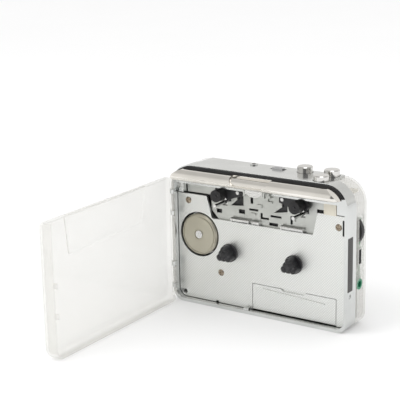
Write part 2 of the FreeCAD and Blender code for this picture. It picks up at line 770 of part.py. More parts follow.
def make_mech_chassis():
    """Plate that carries the mechanism, with posts for deck and circuit board."""
    body = new_body("MechChassis")
    side = half - wall
    foot = size["chassis_foot"]
    crown = size["chassis_top"]
    outline = [
        (-side, foot), (side, foot), (side, crown - 3), (side - 0.7, crown), (-side + 0.7, crown),
        (-side, crown - 3),
    ]
    add(body, "XZ", [outline], -chassis_front, zero)
    add(body, "XZ", [(spot, 1.3) for spot in DECK_SCREWS], -deck_back, -chassis_front + 0.1)
    add(body, "XZ", [(spot, 2.2) for spot in BOARD_POSTS], zero - 0.1, board_front)
    holes = [((motor_x, motor_z), size["motor_radius"] + 0.2)]
    holes += [((x, reel_z), 1.5 + running) for x in REEL_X.values()]
    holes += [((x, capstan_z), 2.2) for x in CAPSTAN_X.values()]
    remove(body, "XZ", holes, -chassis_front, zero)
    remove(body, "XZ", [(spot, 0.9) for spot in DECK_SCREWS], -deck_back, zero)
    remove(body, "XZ", [(spot, 0.8) for spot in BOARD_POSTS], board_front - 6, board_front)
    keep(body, "mech_chassis")


def make_capstan_bearings():
    bushes = []
    for x in CAPSTAN_X.values():
        outer = rod("BearingOuter", "Y", 2.2, (x, capstan_z), -chassis_front, 4.6)
        bore = rod("BearingBore", "Y", capstan_radius + running, (x, capstan_z), -3, 6)
        bushes.append(cut("Bearing", outer, [bore]))
    keep(group("CapstanBearings", bushes), "capstan_bearings")


def idler_centre(side):
    """An idler sits between the reel gear and the capstan pinion, clear of both."""
    reel = (float(REEL_X[side]), float(reel_z))
    capstan = (float(CAPSTAN_X[side]), float(capstan_z))
    reach = float(size["gear_radius"]) + float(size["idler_radius"]) + 0.4
    share = reach / math.dist(reel, capstan)
    return tuple(a + (b - a) * share for a, b in zip(reel, capstan))


def make_pins():
    pivots = []
    shafts = []
    for side in ("left", "right"):
        spot = (PIVOT_X[side], size["arm_pivot_z"])
        pivots.append(rod("ArmPivot", "Y", 1, spot, -6.4, -chassis_front))
        shafts.append(rod("IdlerPin", "Y", 1, idler_centre(side), 0, gear_back + 0.6))
    keep(group("ArmPivots", pivots), "arm_pivots")
    keep(group("IdlerPins", shafts), "idler_pins")


def make_guide_rods():
    """Rods that lie along the sill of the head window, with a flange at each end."""
    radius = 1.4
    depth = -carriage_front - radius - 0.1
    level = size["window_foot"] + radius
    rods = []
    for low, high in ((-18.5, -6.2), (-4.4, 0.4), (14.4, 28.6)):
        turned_down = rod("GuideRod", "X", radius - 0.3, (depth, level), low + 0.7, high - 0.7)
        flanges = [rod("GuideFlange", "X", radius, (depth, level), x, x + 0.9) for x in (low, high - 0.9)]
        rods.append(fuse("GuideSpool", [turned_down] + flanges))
    keep(group("GuideRods", rods), "guide_rods")


def make_motor():
    """Round motor let through the deck plate; its shaft runs from front to back."""
    radius = size["motor_radius"]
    bore = 1 + running
    profile = [
        (bore, 0.5), (3, 0.5), (3, 0), (radius - 1.9, 0), (radius - 1.9, 0.4), (radius - 1.4, 0.4),
        (radius - 1.4, 0.1), (radius - 0.9, 0.1), (radius, 0.9), (radius, 10.8), (3, 10.8), (3, 11.4),
        (bore, 11.4),
    ]
    keep(turned("MotorCan", "Y", profile, (motor_x, motor_z), MOTOR_FRONT), "motor_can")


def make_button_guide():
    """Moulded bridge under the top panel that guides the three buttons."""
    foot = size["guide_foot"]
    top = size["guide_top"]
    bridge = box("GuideBridge", (14, 52.5), (-6.2, 13), (foot, top))
    hangers = [
        box("GuideHanger", (x, x + 2), (2.6, 5.6), (top - 0.2, height - wall)) for x in (29, 41)
    ]
    tab = box("GuideTab", (42, 49.5), (-6.2, -3), (65.2, foot + 0.2))
    stems = [rod("GuideHole", "Z", 1.5 + running * 2, spot, foot - 1, top + 1) for spot in KEYS.values()]
    keep(cut("ButtonGuide", fuse("GuideSolid", [bridge, tab] + hangers), stems), "button_guide")


def make_key_springs():
    for name, spot in KEYS.items():
        spring = coil(name.title() + "Spring", "Z", 2.6, 0.35, 3.2, 2.5, spot, size["guide_top"] + 0.4)
        keep(spring, name + "_spring")


def make_switch_body():
    """Slide switch under the top panel, hung from two ears."""
    ceiling = height - wall
    housing = box("SwitchHousing", (-1.2, 11.7), (5.2, 10.8), (75, 79.4))
    ears = [
        box("SwitchEar", (x, x + 1), (5.2, 10.8), (79, ceiling)) for x in (-1.9, 11.4)
    ]
    slot = box("SwitchSlot", (0.2, 10.3), (KNOB_Y - 0.8, KNOB_Y + 0.8), (77, 80))
    keep(cut("SwitchBody", fuse("SwitchSolid", [housing] + ears), [slot]), "direction_switch_body")


# ---------------------------------------------------------------- circuit board


def make_main_board():
    body = new_body("MainBoard")
    outline = [(-5, 20.5), (54.5, 20.5), (54.5, 61), (42, 61), (42, 48), (-5, 48)]
    add(body, "XZ", [outline], board_front, board_back)
    holes = [(spot, 1) for spot in BOARD_POSTS]
    x, z = SHELL_POSTS[1]
    holes.append(((x, z), 2.6))
    remove(body, "XZ", holes, board_front, board_back)
    keep(body, "main_board")


def make_board_parts():
    face = board_front
    chips = [
        box("Chip", (x, x + wide), (face - 1.6, face), (z, z + tall))
        for x, z, wide, tall in ((8, 33, 8, 5), (22, 26, 5, 4), (30, 40, 6, 4), (14, 42, 4, 3))
    ]
    keep(group("BoardChips", chips), "board_chips")
    cans = [
        rod("Capacitor", "Y", radius, (x, z), face - tall, face)
        for x, z, radius, tall in ((3, 29, 2.5, 5), (34, 25, 3, 6), (37.5, 35, 2, 5), (2, 37, 2, 4.5))
    ]
    keep(group("BoardCapacitors", cans), "board_capacitors")
    screws = []
    for spot in BOARD_POSTS:
        shank = rod("BoardShank", "Y", 0.8, spot, board_front - 5, board_back)
        head = rod("BoardHead", "Y", 1.7, spot, board_back, board_back + 1)
        screws.append(fuse("BoardScrew", [shank, head]))
    keep(group("BoardScrews", screws), "board_screws")


def make_sockets():
    """Power socket with its tongue, and the headphone socket."""
    y, z = PORT
    mouth = half - 0.2
    shell = box("PortShell", (mouth - 7.5, mouth), (y - 1.6, y + 1.6), (z - 4.5, z + 4.5))
    cavity = box("PortCavity", (mouth - 6.8, mouth + 1), (y - 1.25, y + 1.25), (z - 4.15, z + 4.15))
    legs = [
        box("PortLeg", (mouth - 7.2, mouth - 4), (y + 1.5, board_front), (low, low + 0.6))
        for low in (z - 4.4, z + 3.8)
    ]
    keep(cut("UsbSocket", fuse("PortSolid", [shell] + legs), [cavity]), "usb_socket")
    tongue = box("PortTongue", (mouth - 6.8, mouth - 0.8), (y - 0.35, y + 0.35), (z - 3.3, z + 3.3))
    keep(tongue, "usb_tongue")
    y, z = JACK
    block = box("JackBlock", (46.5, 55.6), (y - 3, board_front), (z - 3.2, z + 3.2))
    collar = rod("JackCollar", "X", 3, (y, z), 55.5, half)
    bore = rod("JackBore", "X", 1.8, (y, z), 48, half + 1)
    keep(cut("HeadphoneJack", fuse("JackSolid", [block, collar]), [bore]), "headphone_jack")


def make_volume():
    """Thumb wheel that shows through the right wall, on its potentiometer."""
    case = rod("PotCase", "Y", 5.4, (wheel_x, wheel_z), 9.8, board_front)
    shaft = rod("PotShaft", "Y", 1.4, (wheel_x, wheel_z), 6, board_front)
    keep(fuse("Potentiometer", [case, shaft]), "volume_potentiometer")
    disc = rod("WheelDisc", "Y", size["wheel_radius"], (wheel_x, wheel_z), 6.5, 9.5)
    bore = rod("WheelBore", "Y", 1.4 + running, (wheel_x, wheel_z), 5, 11)
    count = 36
    nicks = [bore]
    for index in range(count):
        angle = 2 * math.pi * index / count
        reach = float(size["wheel_radius"]) + 0.15
        spot = (float(wheel_x) + reach * math.cos(angle), float(wheel_z) + reach * math.sin(angle))
        nicks.append(rod("WheelNick", "Y", 0.45, spot, 6, 10))
    keep(cut("VolumeWheel", disc, nicks), "volume_wheel")


# ---------------------------------------------------------------- moving parts


def make_keys():
    """Round caps on stems; a collar under the guide holds each one in."""
    collar_thick = 0.6
    foot = size["guide_foot"] - gap - collar_thick
    shoulder = size["cap_foot"] - foot
    edge = 0.5
    for name, spot in KEYS.items():
        plays = name == "play"
        collar = 1.6 if plays else 2.2
        stem = 1.3 if plays else 1.5
        lower = size["key_top"] - 0.6 if plays else size["key_top"]
        top = lower - foot
        profile = [
            (zero, zero), (collar, zero), (collar, collar_thick), (stem, collar_thick), (stem, shoulder),
            (key_radius, shoulder), (key_radius, top - edge), (key_radius - edge, top), (zero, top),
        ]
        key = turned(name.title() + "Key", "Z", profile, spot, foot)
        if plays:
            pusher = rod("PlayPusher", "Z", stem, spot, size["chassis_top"] + 0.1, foot + 0.1)
            key = fuse("PlayKeyLong", [key, pusher])
        keep(key, name + "_button")


def make_direction_knob():
    crown = height + 1.1
    cap = box("KnobCap", (2, 8.5), (KNOB_Y - 1.5, KNOB_Y + 1.5), (80, crown))
    stem = box("KnobStem", (4.5, 6), (KNOB_Y - 0.6, KNOB_Y + 0.6), (77.4, 80.2))
    ridge = box("KnobRidge", (3.2, 7.3), (KNOB_Y - 0.9, KNOB_Y + 0.9), (crown - 0.1, crown + 0.3))
    keep(fuse("DirectionKnob", [cap, stem, ridge]), "direction_knob")


def make_head_carriage():
    """Sliding plate that brings the head down to the tape."""
    body = new_body("HeadCarriage")
    crown = size["chassis_top"]
    outline = [
        (-26, 48.5), (36, 48.5), (36, 66.5), (41.5, 66.5), (41.5, crown), (-49.5, crown), (-49.5, 65.8),
        (-33, 65.8), (-33, 57), (-27, 51),
    ]
    add(body, "XZ", [outline], -carriage_front, -carriage_back)
    bracket = rectangle(cassette_x - 7, cassette_x + 7, crown - 2, 78)
    add(body, "XZ", [bracket], -6.3, -carriage_back)
    cut_carriage_windows(body, crown)
    raised = [
        rectangle(-6, -3, 57.8, 58.8), [(4.5, 66), (8, 66), (8, 66.9), (5.4, 66.9), (5.4, 69), (4.5, 69)],
        rectangle(21.5, 22.6, 57.6, 60.4), rectangle(-2, 1.2, 62.6, 64.2),
    ]
    add(body, "XZ", raised, -carriage_front - 0.9, -carriage_back - 0.5)
    keep(body, "head_carriage")


def cut_carriage_windows(body, crown):
    """Slots for the capstans and the arm pivots, windows of the rollers, and stamped openings."""
    slots = []
    pivots = []
    for side in ("left", "right"):
        x = CAPSTAN_X[side]
        slots.append(rectangle(x - 1.8, x + 1.8, capstan_z - 2, capstan_z + 4.5))
        x = PIVOT_X[side]
        pivots.append(rectangle(x - 1.5, x + 1.5, size["arm_pivot_z"] - 1.4, crown + 0.5))
    windows = [rectangle(-28.2, -19.4, 63.4, crown + 0.5), rectangle(19, 31, 63, crown + 0.5)]
    boots = [
        [(-19.8, 61.2), (-11.2, 62), (-11.2, 67.6), (-15.4, 68), (-15.4, 64.9)],
        [(8.6, 60.7), (17.5, 62.2), (17.5, 66.8), (13.9, 68), (13.9, 64.6)],
    ]
    small = [
        rectangle(-14.3, -10.3, 57.4, 59.8), rectangle(-29.5, -25.9, 55.8, 58.2),
        rectangle(19.4, 20.8, 55.6, 60.4), rectangle(5.6, 11.3, 53, 54.8), rectangle(-7.5, -1.5, 60, 61.2),
        rectangle(-6.5, -4.8, 64, 68.5), rectangle(6.6, 13.6, 58, 59.2),
        [(0, 56), (5.5, 56), (5.5, 57.2), (1.4, 57.2), (1.4, 59.5), (0, 59.5)],
    ]
    for outlines in (slots, windows, pivots, boots, small):
        remove(body, "XZ", outlines, -carriage_front, -carriage_back)


def make_playback_head():
    """Metal-cased head with a rounded tape face, on the carriage bracket."""
    x = cassette_x
    case = box("HeadCase", (x - 5.5, x + 5.5), (-12.5, -6.3), (72, 78.2))
    face = rod("HeadFace", "Y", 6.5, (x, 77), -12.5, -6.3)
    trim = box("HeadTrim", (x - 5.5, x + 5.5), (-13, -6), (70.5, 76))
    nose = doc.addObject("Part::Common", "HeadNose")
    nose.Base = face
    nose.Tool = trim
    keep(fuse("PlaybackHead", [case, nose]), "playback_head")
    forks = []
    for side in (-1, 1):
        post = box(
            "GuidePost", (x + side * 6.3 - 0.6, x + side * 6.3 + 0.6), (-12.4, -6.3), (70.9, 77)
        )
        slot = box("GuideGap", (x + side * 6.3 - 1, x + side * 6.3 + 1), (-11, -7.2), (70, 73.5))
        forks.append(cut("TapeGuide", post, [slot]))
    keep(group("TapeGuides", forks), "tape_guides")


def make_spindle(side):
    """Reel drive: base collar, hub with three pointed lobes, shaft to the gear."""
    x = REEL_X[side]
    centre = (x, reel_z)
    front = -deck_front
    shoulder = -11.4
    parts = [
        rod("SpindleShaft", "Y", 1.5, centre, front - 1, gear_back),
        rod("SpindleCollar", "Y", 5.3, centre, front - 1.6, front - 0.3),
        rod("SpindleHub", "Y", 3.5, centre, shoulder, front - 1),
        cone("SpindleTip", "Y", (1.2, 3.5), centre, shoulder - 1, shoulder),
    ]
    reach = 3.1
    for index in range(3):
        angle = math.radians(90 + 120 * index)
        spot = (float(x) + reach * math.cos(angle), float(reel_z) + reach * math.sin(angle))
        parts.append(rod("SpindleLobe", "Y", 2, spot, shoulder, front - 1))
        parts.append(cone("SpindlePoint", "Y", (0.4, 2), spot, shoulder - 1.8, shoulder))
    keep(fuse(side.title() + "Spindle", parts), side + "_spindle")


def gear_shape(tip, teeth, thick, bore):
    """A spur gear about the Y axis, starting at y = 0."""
    root = tip - 0.7
    points = []
    for index in range(teeth):
        for part, radius in ((0, root), (0.22, root), (0.36, tip), (0.64, tip), (0.78, root)):
            angle = 2 * math.pi * (index + part) / teeth
            points.append(FreeCAD.Vector(radius * math.cos(angle), 0, radius * math.sin(angle)))
    points.append(points[0])
    disc = Part.Face(Part.makePolygon(points)).extrude(FreeCAD.Vector(0, thick, 0))
    hole = Part.makeCylinder(bore, thick + 2, FreeCAD.Vector(0, -1, 0), FreeCAD.Vector(0, 1, 0))
    return disc.cut(hole)


def make_gear(name, tip, teeth, bore, spot, label):
    item = doc.addObject("Part::Feature", name)
    item.Shape = gear_shape(float(tip), teeth, float(size["gear_thick"]), float(bore))
    place(item, spot[0], gear_front, spot[1])
    keep(item, label)


def make_gears():
    for side in ("left", "right"):
        spot = (REEL_X[side], reel_z)
        make_gear(side.title() + "ReelGear", size["gear_radius"], 36, 1.5, spot, side + "_reel_gear")
        bore = 1 + running
        name = side.title() + "Idler"
        make_gear(name, size["idler_radius"], 34, bore, idler_centre(side), "idler_gear_" + side)


def make_flywheel(side):
    """Flywheel with its pinion, pressed on the capstan."""
    centre = (CAPSTAN_X[side], capstan_z)
    rim_radius = float(size["flywheel_radius"])
    profile = [
        (1, 0), (3, 0), (3, 0.4), (rim_radius - 3, 0.4), (rim_radius - 3, 0), (rim_radius, 0),
        (rim_radius, 4.4), (1, 4.4),
    ]
    keep(turned("Flywheel" + side.title(), "Y", profile, centre, 5), "flywheel_" + side)
    shaft = rod("Capstan" + side.title(), "Y", capstan_radius, centre, -13.2, 9.8)
    keep(shaft, "capstan_" + side)


def make_motor_drive():
    """Motor shaft with its end cap in front and the pulley of the flat belt behind."""
    centre = (motor_x, motor_z)
    shaft = rod("MotorRod", "Y", 1, centre, MOTOR_FRONT + 0.1, 10.3)
    cap = rod("MotorCap", "Y", 2.3, centre, MOTOR_FRONT - 0.1, MOTOR_FRONT + 0.4)
    keep(fuse("MotorShaft", [shaft, cap]), "motor_shaft")
    radius = float(size["pulley_radius"])
    profile = [
        (1, 0), (radius + 0.8, 0), (radius + 0.8, 0.4), (radius, 0.6), (radius, 3), (radius + 0.8, 3.2),
        (radius + 0.8, 3.6), (1, 3.6),
    ]
    keep(turned("MotorPulley", "Y", profile, centre, 6.2), "motor_pulley")


def belt_loop(depth):
    """Closed belt line at a depth into the belt: pulley, then flywheels."""
    clear = float(running)
    thick = float(size["belt_thick"])
    inside = clear + depth
    outside = clear + thick - depth
    wheels = [
        ((float(motor_x), float(motor_z)), float(size["pulley_radius"]) + inside, 1),
        ((float(CAPSTAN_X["left"]), float(capstan_z)), float(size["flywheel_radius"]) + outside, -1),
        ((float(CAPSTAN_X["right"]), float(capstan_z)), float(size["flywheel_radius"]) + inside, 1),
    ]
    contacts = [[None, None] for _ in wheels]
    for index, (first, radius, side) in enumerate(wheels):
        after = (index + 1) % len(wheels)
        second, next_radius, next_side = wheels[after]
        run = math.dist(first, second)
        heading = math.atan2(second[1] - first[1], second[0] - first[0])
        lean = math.asin((next_side * next_radius - side * radius) / run)
        normal = heading + math.pi / 2 + lean
        for place_index, wheel, slot in ((index, first, 1), (after, second, 0)):
            reach = wheels[place_index][1] * wheels[place_index][2]
            x = wheel[0] + reach * math.cos(normal)
            z = wheel[1] + reach * math.sin(normal)
            contacts[place_index][slot] = (x, z)
    edges = []
    for index, (centre, radius, side) in enumerate(wheels):
        start, end = contacts[index]
        first = math.atan2(start[1] - centre[1], start[0] - centre[0])
        last = math.atan2(end[1] - centre[1], end[0] - centre[0])
        sweep = (first - last) * side % (2 * math.pi) * side
        middle = first - sweep / 2
        through = (centre[0] + radius * math.cos(middle), centre[1] + radius * math.sin(middle))
        points = [FreeCAD.Vector(spot[0], 0, spot[1]) for spot in (start, through, end)]
        edges.append(Part.Arc(*points).toShape())
        following = contacts[(index + 1) % len(wheels)][0]
        edges.append(Part.makeLine(points[2], FreeCAD.Vector(following[0], 0, following[1])))
    return Part.Face(Part.Wire(edges))


def make_drive_belt():
    """Flat belt round the pulley and the right flywheel, back against the left one."""
    band = belt_loop(float(size["belt_thick"])).cut(belt_loop(0))
    item = doc.addObject("Part::Feature", "DriveBelt")
    item.Shape = band.extrude(FreeCAD.Vector(0, 2, 0))
    place(item, 0, 7, 0)
    keep(item, "drive_belt")


def make_pinch(side):
    """Arm on its pivot, with the pin that carries the rubber roller."""
    roller = (float(CAPSTAN_X[side]), float(size["roller_z"]))
    pivot = (float(PIVOT_X[side]), float(size["arm_pivot_z"]))
    out = -1 if side == "left" else 1
    body = new_body("PinchArm" + side.title())
    outline = [
        (pivot[0] - out * 2.2, pivot[1] - 2), (pivot[0] - out * 2.2, pivot[1] + 1.4),
        (roller[0] - out * 1, roller[1] + 3.2), (roller[0] + out * 4.2, roller[1] + 3),
        (roller[0] + out * 5.4, roller[1] - 0.6), (roller[0] + out * 3, roller[1] - 3.4),
        (roller[0] + out * 2, roller[1] - 1.4), (roller[0] - out * 2.4, roller[1] - 1.8),
        (roller[0] - out * 4, roller[1] - 3.6), (pivot[0] + out * 3, pivot[1] - 3.4),
    ]
    add(body, "XZ", [outline], -5.8, -4.4)
    add(body, "XZ", [(roller, 0.8)], -12.6, -5.7)
    remove(body, "XZ", [(pivot, 1 + running)], -5.8, -4.4)
    keep(body, "pinch_arm_" + side)
    sleeve = rod("RollerSleeve", "Y", size["roller_radius"], roller, -12.2, -6.2)
    bore = rod("RollerBore", "Y", 0.8 + running, roller, -13, -5)
    keep(cut("Roller" + side.title(), sleeve, [bore]), "pinch_roller_" + side)


# ---------------------------------------------------------------- assembly


def build_all():
    makers = [
        make_front_frame, make_hinge_pins, make_top_bezel, make_bezel_gasket, make_deck_plate,
        make_deck_screws, make_side_grip, make_indicator, make_rear_shell, make_shell_screws,
        make_cassette_door, make_battery_cover, make_battery_parts, make_mech_chassis,
        make_capstan_bearings, make_pins, make_guide_rods, make_motor, make_button_guide,
        make_key_springs, make_switch_body, make_main_board, make_board_parts, make_sockets,
        make_volume, make_keys, make_direction_knob, make_head_carriage, make_playback_head,
        make_gears, make_motor_drive, make_drive_belt,
    ]
    for maker in makers:
        maker()
    for side in ("left", "right"):
        make_spindle(side)
        make_flywheel(side)
        make_pinch(side)
    doc.recompute()


def check_document():
    for item in doc.Objects:
        if {"Invalid", "Error"} & set(item.State):
            raise ValueError("%s failed: %s" % (item.Name, item.State))
    for label, item in nodes.items():
        if item.Shape.isNull() or not item.Shape.isValid():
            raise ValueError("%s has no valid shape" % label)


def write_parts():
    os.makedirs("parts", exist_ok=True)
    for label, item in nodes.items():
        item.Shape.exportStep("parts/%s.step" % label)
    print("%d nodes" % len(nodes))


build_all()
check_document()
write_parts()
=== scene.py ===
import json
import math

import bpy
from mathutils import Matrix, Vector


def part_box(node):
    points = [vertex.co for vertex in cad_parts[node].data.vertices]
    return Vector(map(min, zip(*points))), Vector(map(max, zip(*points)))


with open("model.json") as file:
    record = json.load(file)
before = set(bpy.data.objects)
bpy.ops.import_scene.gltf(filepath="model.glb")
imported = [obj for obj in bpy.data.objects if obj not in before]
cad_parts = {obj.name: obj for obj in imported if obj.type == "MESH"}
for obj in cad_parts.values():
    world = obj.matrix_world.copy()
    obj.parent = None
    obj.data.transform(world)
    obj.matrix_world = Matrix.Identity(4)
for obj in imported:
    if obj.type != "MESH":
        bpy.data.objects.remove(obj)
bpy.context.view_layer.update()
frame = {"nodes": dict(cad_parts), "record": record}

housing_low, housing_high = (Vector(corner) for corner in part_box("front_frame"))
MM = 0.001

# The camera stands to the right of the player and a little above it.
CAMERA_TARGET = Vector((-25.5, -25.1, 68.6)) * MM
CAMERA_AZIMUTH = math.radians(34.876)
CAMERA_ELEVATION = math.radians(14.621)
CAMERA_ROLL = math.radians(-1.162)
CAMERA_DISTANCE = 679.6 * MM
CAMERA_LENS = 110.45
SENSOR = 36



def direction(azimuth, elevation):
    """Unit vector; the azimuth turns from -Y towards +X."""
    return Vector((
        math.sin(azimuth) * math.cos(elevation),
        -math.cos(azimuth) * math.cos(elevation),
        math.sin(elevation),
    ))


# Two soft-edged patches of the studio that only polished metal mirrors: the dark one lies
# behind the camera and the bright one above it. Each has a direction, an edge in degrees
# and a colour.
DARK_SIDE = (direction(CAMERA_AZIMUTH, CAMERA_ELEVATION), (28, 44), (0.20, 0.20, 0.20, 1))
SOFTBOX = (direction(CAMERA_AZIMUTH, math.radians(65)), (16, 24), (2.4, 2.4, 2.4, 1))

# Brightness of the studio from straight down (0) to straight up (1).
STUDIO_SHADES = [
    (0.0, 0.62), (0.40, 0.60), (0.50, 0.75), (0.55, 1.0), (0.61, 0.86), (0.70, 0.88), (0.80, 0.78),
    (0.88, 0.58), (1.0, 0.62),
]
WHITE = (1, 1, 1, 1)
FLOOR_SIZE = 6

HATCH_PITCH = 1.1 * MM
RIB_PITCH = 1.1 * MM


def wave_scale(pitch):
    """Scale of the Wave Texture that gives bands of this pitch."""
    return math.pi / (10 * pitch)


# ---------------------------------------------------------------- materials


class Nodes:
    """Short calls for one material's node tree."""

    def __init__(self, name):
        self.material = bpy.data.materials.new(name)
        self.material.use_nodes = True
        self.tree = self.material.node_tree
        self.shader = self.tree.nodes["Principled BSDF"]
        self.place = self.add("ShaderNodeTexCoord").outputs["Object"]

    def add(self, kind, **settings):
        node = self.tree.nodes.new(kind)
        for key, value in settings.items():
            setattr(node, key, value)
        return node

    def link(self, output, target):
        self.tree.links.new(output, target)

    def set(self, **values):
        for key, value in values.items():
            self.shader.inputs[key.replace("_", " ")].default_value = value

    def noise(self, scale, detail=3.0, stretch=(1, 1, 1)):
        """Noise in object space; stretch squeezes it along the axes."""
        mapping = self.add("ShaderNodeMapping")
        mapping.inputs["Scale"].default_value = stretch
        self.link(self.place, mapping.inputs["Vector"])
        texture = self.add("ShaderNodeTexNoise")
        texture.inputs["Scale"].default_value = scale
        texture.inputs["Detail"].default_value = detail
        self.link(mapping.outputs["Vector"], texture.inputs["Vector"])
        return texture.outputs["Fac"]

    def lines(self, pitch, turn):
        """Parallel lines across X and Z, turned about Y."""
        mapping = self.add("ShaderNodeMapping")
        mapping.inputs["Rotation"].default_value = (0, turn, 0)
        self.link(self.place, mapping.inputs["Vector"])
        wave = self.add("ShaderNodeTexWave", wave_type="BANDS", bands_direction="X", wave_profile="SIN")
        wave.inputs["Scale"].default_value = wave_scale(pitch)
        self.link(mapping.outputs["Vector"], wave.inputs["Vector"])
        return wave.outputs["Fac"]

    def shades(self, factor, dark, light, low=0.35, high=0.65):
        """Base colour that moves between two shades."""
        ramp = self.add("ShaderNodeValToRGB")
        ramp.color_ramp.elements[0].position = low
        ramp.color_ramp.elements[1].position = high
        ramp.color_ramp.elements[0].color = (*dark, 1)
        ramp.color_ramp.elements[1].color = (*light, 1)
        self.link(factor, ramp.inputs["Fac"])
        self.link(ramp.outputs["Color"], self.shader.inputs["Base Color"])

    def range(self, factor, low, high, target="Roughness"):
        spread = self.add("ShaderNodeMapRange")
        spread.inputs["To Min"].default_value = low
        spread.inputs["To Max"].default_value = high
        self.link(factor, spread.inputs["Value"])
        self.link(spread.outputs["Result"], self.shader.inputs[target])

    def bump(self, factor, depth, strength=1.0):
        node = self.add("ShaderNodeBump")
        node.inputs["Strength"].default_value = strength
        node.inputs["Distance"].default_value = depth
        self.link(factor, node.inputs["Height"])
        self.link(node.outputs["Normal"], self.shader.inputs["Normal"])


def metal(name, dark, light, rough, grain=900, stretch=(1, 1, 1), depth=0.00001, metallic=1.0):
    """Plated or machined metal with fine variation."""
    nodes = Nodes(name)
    nodes.set(Metallic=metallic)
    nodes.shades(nodes.noise(60, 2), dark, light)
    fine = nodes.noise(grain, 4, stretch)
    nodes.range(fine, *rough)
    nodes.bump(fine, depth, 0.4)
    return nodes.material


def plastic(name, dark, light, rough, grain=1500, depth=0.00003):
    """Moulded plastic with a fine texture."""
    nodes = Nodes(name)
    nodes.set(Metallic=0.0, IOR=1.49)
    nodes.shades(nodes.noise(90, 3), dark, light)
    fine = nodes.noise(grain, 3)
    nodes.range(fine, *rough)
    nodes.bump(fine, depth, 0.5)
    return nodes.material


def hatched_silver():
    """Silver sheet with a fine hatch in both diagonal directions."""
    nodes = Nodes("hatched_silver_look")
    nodes.set(Metallic=0.9)
    first = nodes.lines(HATCH_PITCH, math.radians(45))
    second = nodes.lines(HATCH_PITCH, math.radians(-45))
    both = nodes.add("ShaderNodeMath", operation="MULTIPLY")
    nodes.link(first, both.inputs[0])
    nodes.link(second, both.inputs[1])
    nodes.shades(both.outputs["Value"], (0.71, 0.72, 0.70), (0.88, 0.89, 0.87), 0.05, 0.7)
    nodes.range(nodes.noise(400, 3), 0.26, 0.40)
    nodes.bump(both.outputs["Value"], 0.00009, 0.8)
    return nodes.material


def clear_plastic(name, tint, opacity, rough):
    """Clear moulding: mostly lets light through, with a faint tint and a skin of gloss."""
    nodes = Nodes(name)
    nodes.set(Metallic=0.0, IOR=1.49, Alpha=opacity)
    nodes.shades(nodes.noise(25, 2), tuple(0.985 * part for part in tint), tint)
    fine = nodes.noise(700, 3)
    nodes.range(fine, *rough)
    nodes.bump(fine, 0.00001, 0.2)
    return nodes.material


def ribbed_rubber():
    """Dark insert with painted light: the base colour is lighter on the ribs as a painted highlight and
    darker in the grooves as painted shade.
    """
    nodes = Nodes("grip_rubber_painted_rib_light_look")
    nodes.set(Metallic=0.0, IOR=1.49)
    mapping = nodes.add("ShaderNodeMapping")
    nodes.link(nodes.place, mapping.inputs["Vector"])
    wave = nodes.add("ShaderNodeTexWave", wave_type="BANDS", bands_direction="Z", wave_profile="SIN")
    wave.inputs["Scale"].default_value = wave_scale(RIB_PITCH)
    nodes.link(mapping.outputs["Vector"], wave.inputs["Vector"])
    # Painted highlight on the rib tops and painted shade in the grooves, laid into the base colour.
    nodes.shades(wave.outputs["Fac"], (0.012, 0.012, 0.012), (0.16, 0.155, 0.15), 0.35, 0.75)
    nodes.range(nodes.noise(900, 3), 0.5, 0.65)
    nodes.bump(wave.outputs["Fac"], 0.0001, 0.6)
    return nodes.material


def board_green():
    """Solder mask over copper tracks."""
    nodes = Nodes("board_green_look")
    nodes.set(Metallic=0.0, IOR=1.5)
    tracks = nodes.add("ShaderNodeTexBrick")
    tracks.inputs["Scale"].default_value = 260
    tracks.inputs["Mortar Size"].default_value = 0.06
    tracks.inputs["Color1"].default_value = (0.05, 0.20, 0.10, 1)
    tracks.inputs["Color2"].default_value = (0.06, 0.23, 0.11, 1)
    tracks.inputs["Mortar"].default_value = (0.12, 0.32, 0.16, 1)
    turn = nodes.add("ShaderNodeMapping")
    turn.inputs["Rotation"].default_value = (math.radians(90), 0, 0)
    nodes.link(nodes.place, turn.inputs["Vector"])
    nodes.link(turn.outputs["Vector"], tracks.inputs["Vector"])
    nodes.link(tracks.outputs["Color"], nodes.shader.inputs["Base Color"])
    nodes.range(nodes.noise(500, 3), 0.25, 0.4)
    nodes.bump(tracks.outputs["Fac"], 0.00003, 0.5)
    return nodes.material


